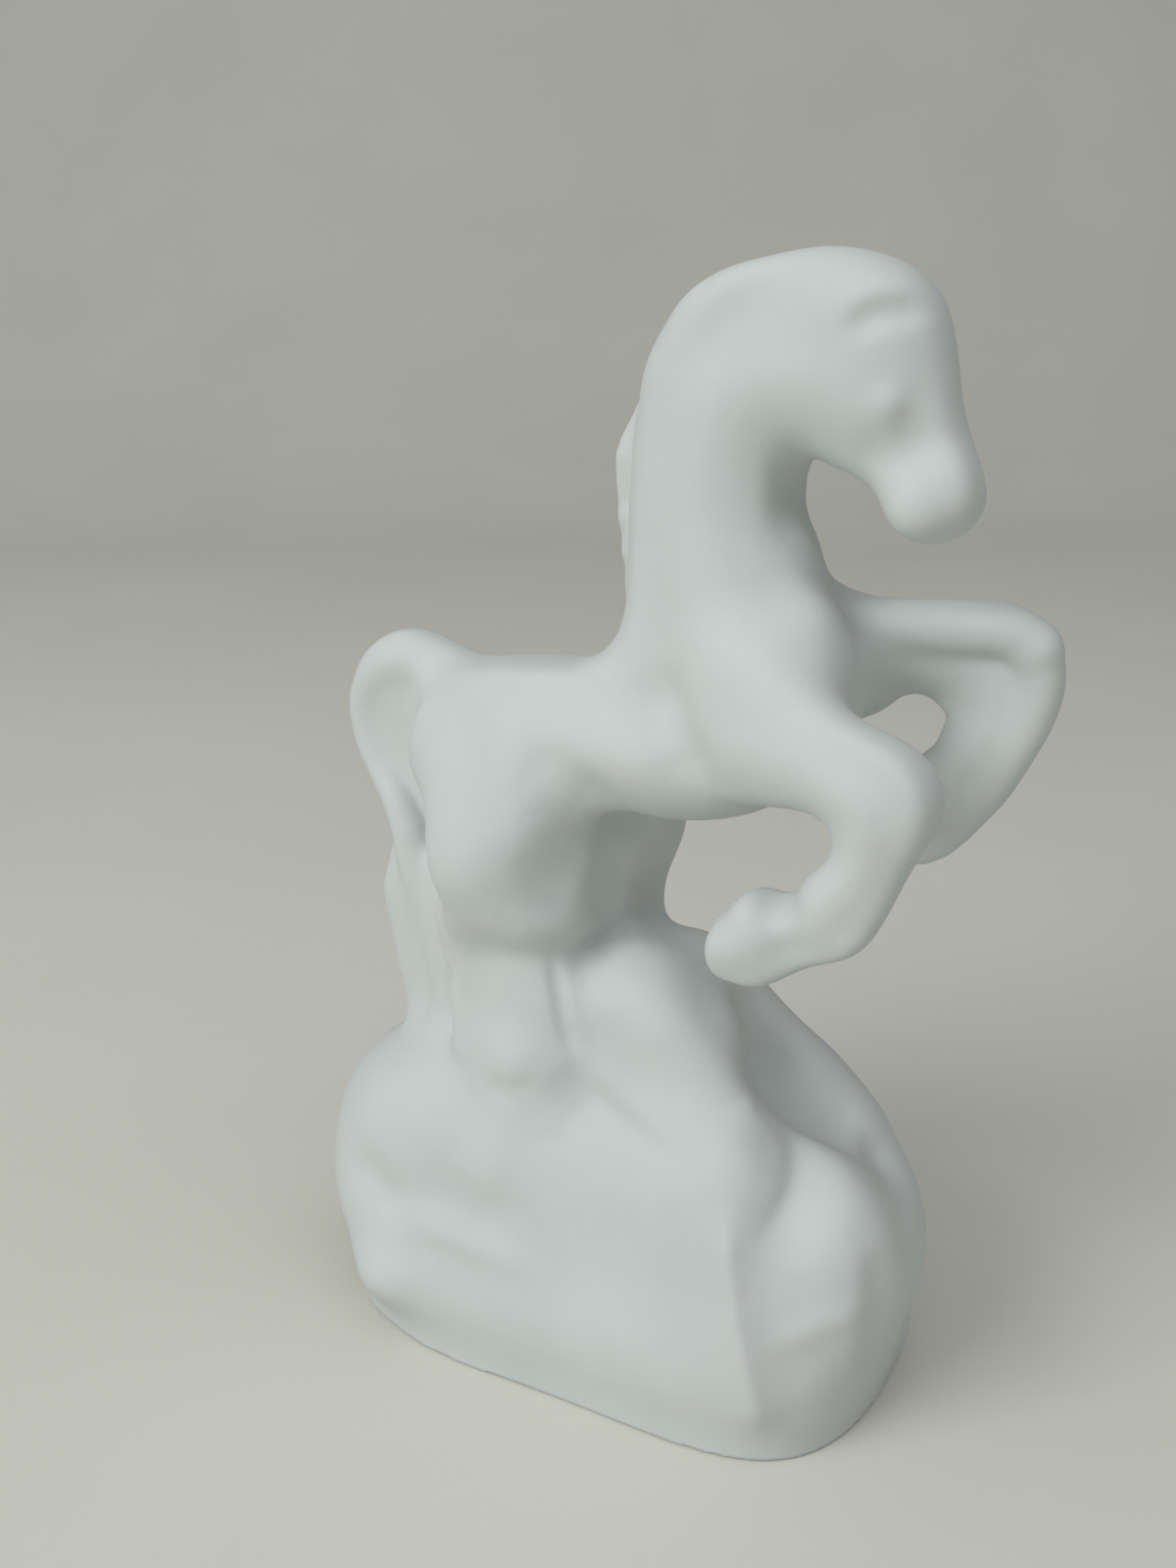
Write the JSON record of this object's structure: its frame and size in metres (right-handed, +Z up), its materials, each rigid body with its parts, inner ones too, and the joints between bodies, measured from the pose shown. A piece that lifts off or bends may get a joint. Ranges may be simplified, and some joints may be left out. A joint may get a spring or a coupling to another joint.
{
  "type": "horse figurine",
  "caption": "Rearing horse with arched neck and folded forelegs on a rounded rock, a matt white porcelain ornament that stands on a flat underside.",
  "frame": {"origin": "centre of the rock's flat underside, on the table", "axes": "+Z up, +X the way the horse faces, +Y the horse's left side"},
  "size_m": [0.0932, 0.0442, 0.14],
  "materials": {
    "biscuit_porcelain": "matt unglazed white, fine even grain"
  },
  "bodies": {
    "root": {"rock_base": "biscuit_porcelain", "torso": "biscuit_porcelain", "neck": "biscuit_porcelain", "head": "biscuit_porcelain", "mane": "biscuit_porcelain", "tail": "biscuit_porcelain", "right_foreleg": "biscuit_porcelain", "left_foreleg": "biscuit_porcelain", "right_hind_leg": "biscuit_porcelain", "left_hind_leg": "biscuit_porcelain"}
  },
  "joints": []
}
